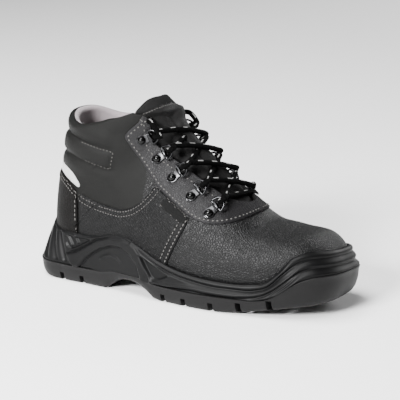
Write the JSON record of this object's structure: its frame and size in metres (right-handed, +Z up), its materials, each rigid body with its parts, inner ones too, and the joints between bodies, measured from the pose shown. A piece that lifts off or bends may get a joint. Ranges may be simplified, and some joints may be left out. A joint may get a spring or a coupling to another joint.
{
  "type": "safety boot",
  "caption": "Black leather safety ankle boot for the right foot, with a padded collar and tongue, laces through riveted D-rings, a reflective heel strip and a lugged sole rising over the toe.",
  "frame": {"origin": "on the floor under the middle of the boot's outline", "axes": "+X towards the toe, +Y towards the wearer's left, which is the boot's inner side, +Z up"},
  "size_m": [0.3022, 0.114, 0.1748],
  "materials": {
    "leather": "matte, soft padded leather",
    "overlay_leather": "pebbled, satin",
    "reflective": "smooth retroreflective cloth",
    "label": "woven, matte",
    "sole_rubber": "moulded, satin",
    "tread_rubber": "moulded, satin",
    "insole_felt": "felted",
    "tongue": "woven, padded",
    "gunmetal": "dark, polished",
    "lace_cord": "round braided cord with pale flecks"
  },
  "bodies": {
    "root": {"upper": "leather", "eyestay": "overlay_leather", "quarter_lateral": "overlay_leather", "quarter_medial": "overlay_leather", "heel_counter": "overlay_leather", "reflective_strip": "reflective", "label_tab": "label", "midsole": "sole_rubber", "outsole": "tread_rubber", "insole": "insole_felt", "tongue": "tongue", "eyelet_plate_lateral_1": "gunmetal", "eyelet_plate_lateral_2": "gunmetal", "eyelet_plate_lateral_3": "gunmetal", "eyelet_plate_lateral_4": "gunmetal", "eyelet_plate_lateral_5": "gunmetal", "eyelet_plate_medial_1": "gunmetal", "eyelet_plate_medial_2": "gunmetal", "eyelet_plate_medial_3": "gunmetal", "eyelet_plate_medial_4": "gunmetal", "eyelet_plate_medial_5": "gunmetal", "d_ring_lateral_1": "gunmetal", "d_ring_lateral_2": "gunmetal", "d_ring_lateral_3": "gunmetal", "d_ring_lateral_4": "gunmetal", "d_ring_lateral_5": "gunmetal", "d_ring_medial_1": "gunmetal", "d_ring_medial_2": "gunmetal", "d_ring_medial_3": "gunmetal", "d_ring_medial_4": "gunmetal", "d_ring_medial_5": "gunmetal", "rivet_lateral_1": "gunmetal", "rivet_lateral_2": "gunmetal", "rivet_lateral_3": "gunmetal", "rivet_lateral_4": "gunmetal", "rivet_lateral_5": "gunmetal", "rivet_medial_1": "gunmetal", "rivet_medial_2": "gunmetal", "rivet_medial_3": "gunmetal", "rivet_medial_4": "gunmetal", "rivet_medial_5": "gunmetal", "lace_cross_1": "lace_cord", "lace_cross_2": "lace_cord", "lace_cross_3": "lace_cord", "lace_cross_4": "lace_cord", "lace_bar": "lace_cord"}
  },
  "joints": []
}
